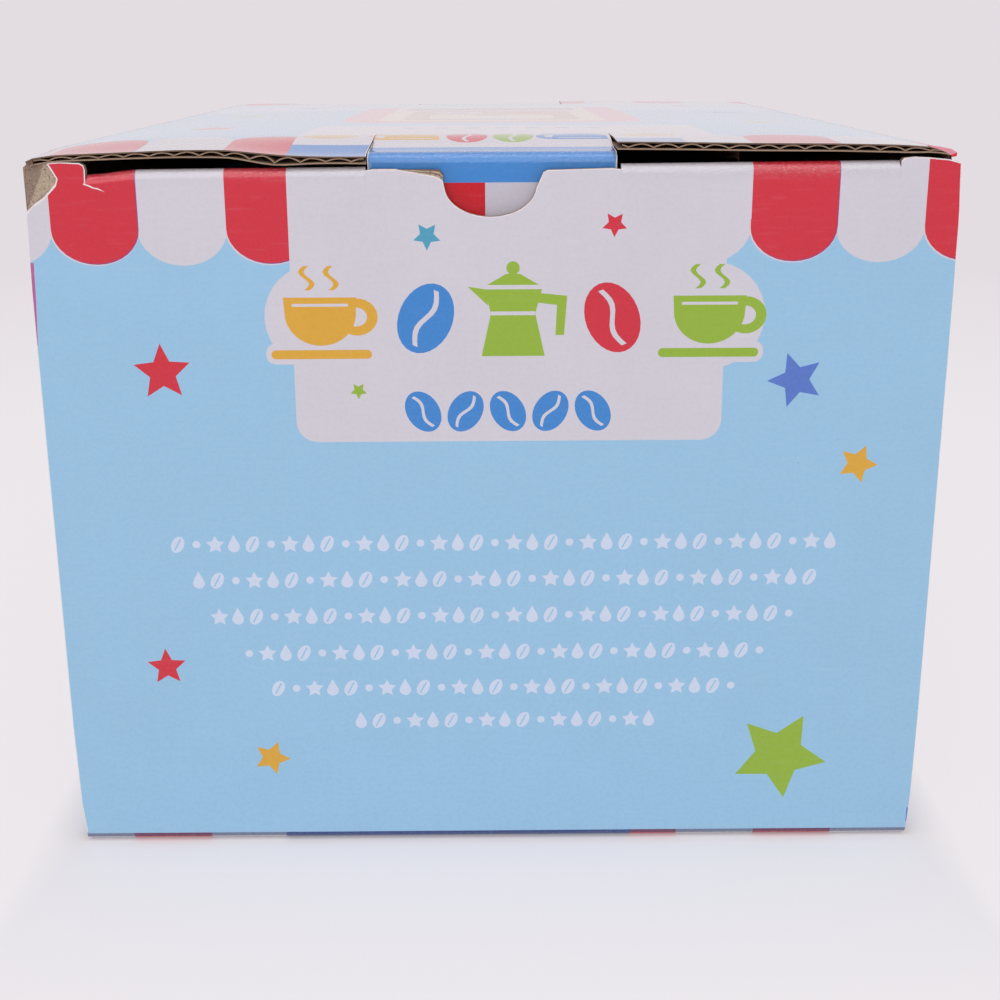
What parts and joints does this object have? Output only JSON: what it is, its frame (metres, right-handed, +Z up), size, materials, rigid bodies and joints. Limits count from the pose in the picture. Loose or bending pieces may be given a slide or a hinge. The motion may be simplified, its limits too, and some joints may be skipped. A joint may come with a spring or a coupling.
{
  "type": "boxed toy coffee maker",
  "caption": "Printed corrugated retail carton lying on its back with hinged end flaps and thumb notches, a wooden toy coffee maker and its play accessories packed inside.",
  "frame": {"origin": "centre of the underside that the carton lies on", "axes": "+X to the right as pictured, +Y away from the viewer along the carton's depth, +Z up; the pictured end panel faces -Y"},
  "size_m": [0.24, 0.34, 0.198],
  "materials": {
    "print": "satin printed",
    "lidprint": "satin printed",
    "tabprint": "satin printed",
    "kraft": "matte",
    "beech": "satin lacquer",
    "red": "painted satin",
    "grey": "painted satin",
    "white": "painted satin",
    "blue": "painted satin",
    "yellow": "painted satin",
    "green": "painted satin",
    "rubber": "matte",
    "steel": "brushed",
    "paper": "uncoated"
  },
  "bodies": {
    "carton": {"back_panel": "print", "left_side_panel": "print", "right_side_panel": "print", "glue_flap": "kraft", "face_panel": "lidprint", "rear_dust_flap_left": "print", "rear_dust_flap_right": "print", "insert_floor": "kraft", "insert_divider": "kraft", "insert_cross_wall_1": "kraft", "insert_cross_wall_2": "kraft", "insert_cross_wall_3": "kraft", "insert_toy_stop": "kraft", "leaflet": "paper", "toy_base": "beech", "toy_foot_left_back": "rubber", "toy_foot_left_front": "rubber", "toy_foot_right_back": "rubber", "toy_foot_right_front": "rubber", "toy_back_board": "white", "toy_left_side": "red", "toy_right_side": "red", "toy_front_board": "white", "toy_head_floor": "white", "toy_column_front": "white", "toy_top_board": "grey", "coffee_well": "grey", "hatch_hinge_block_left": "beech", "hatch_hinge_block_right": "beech", "hatch_hinge_pin": "steel", "dial_plate": "yellow", "dial_stop_peg": "steel", "button_cushion": "rubber", "button_rail": "beech", "spout": "grey", "drip_tray": "grey", "cup": "green", "coffee_capsule_1": "yellow", "coffee_capsule_2": "red", "milk_carton": "white", "cream_pot": "white", "cream_pot_lid": "blue"},
    "front_end": {"front_end_panel": "print"},
    "front_tuck": {"front_tuck_flap_left": "print", "front_tuck_flap_right": "print"},
    "front_tab": {"front_lock_tab": "tabprint"},
    "front_dust_left": {"front_dust_flap_left": "print"},
    "front_dust_right": {"front_dust_flap_right": "print"},
    "rear_end": {"rear_end_panel": "print"},
    "rear_tuck": {"rear_tuck_flap_left": "print", "rear_tuck_flap_right": "print"},
    "rear_tab": {"rear_lock_tab": "tabprint"},
    "hatch_body": {"hatch": "beech", "hatch_knob": "red"},
    "dial_body": {"strength_dial": "blue", "dial_axle": "beech", "dial_pointer": "white"},
    "button_body": {"brew_button": "red"}
  },
  "joints": [
    {"name": "front_end_fold", "type": "hinge", "parent": "carton", "child": "front_end", "pos_m": [0, -0.17, 0], "axis": [1, 0, 0], "range_deg": [0, 90]},
    {"name": "front_tuck_fold", "type": "hinge", "parent": "front_end", "child": "front_tuck", "pos_m": [0, -0.167, 0.1893], "axis": [1, 0, 0], "range_deg": [0, 100.5]},
    {"name": "front_tab_fold", "type": "hinge", "parent": "carton", "child": "front_tab", "pos_m": [0, -0.1653, 0.195], "axis": [-1, 0, 0], "range_deg": [0, 90.5]},
    {"name": "front_dust_left_fold", "type": "hinge", "parent": "carton", "child": "front_dust_left", "pos_m": [-0.1167, -0.1637, 0], "axis": [0, 0, 1], "range_deg": [0, 12]},
    {"name": "front_dust_right_fold", "type": "hinge", "parent": "carton", "child": "front_dust_right", "pos_m": [0.1167, -0.1637, 0], "axis": [0, 0, -1], "range_deg": [0, 12]},
    {"name": "rear_end_fold", "type": "hinge", "parent": "carton", "child": "rear_end", "pos_m": [0, 0.17, 0], "axis": [-1, 0, 0], "range_deg": [0, 90]},
    {"name": "rear_tuck_fold", "type": "hinge", "parent": "rear_end", "child": "rear_tuck", "pos_m": [0, 0.167, 0.1893], "axis": [-1, 0, 0], "range_deg": [0, 100.5]},
    {"name": "rear_tab_fold", "type": "hinge", "parent": "carton", "child": "rear_tab", "pos_m": [0, 0.1653, 0.195], "axis": [1, 0, 0], "range_deg": [0, 90.5]},
    {"name": "hatch_swing", "type": "hinge", "parent": "carton", "child": "hatch_body", "pos_m": [-0.037, -0.0881, 0.047], "axis": [1, 0, 0], "range_deg": [0, 90]},
    {"name": "dial_turn", "type": "hinge", "parent": "carton", "child": "dial_body", "pos_m": [-0.076, -0.031, 0.1765], "axis": [0, 0, 1], "range_deg": [0, 240]},
    {"name": "button_press", "type": "slide", "parent": "carton", "child": "button_body", "axis": [0, 0, -1], "range_m": [0, 0.003], "stiffness_N_per_m": 400, "springref_m": -0.001, "deforming": ["button_cushion"]}
  ],
  "couplings": [
    {"joint": "front_tuck_fold", "follows": "front_end_fold", "ratio": 1.1111},
    {"joint": "front_tab_fold", "follows": "front_end_fold", "ratio": 1},
    {"joint": "rear_tuck_fold", "follows": "rear_end_fold", "ratio": 1.1111},
    {"joint": "rear_tab_fold", "follows": "rear_end_fold", "ratio": 1}
  ]
}
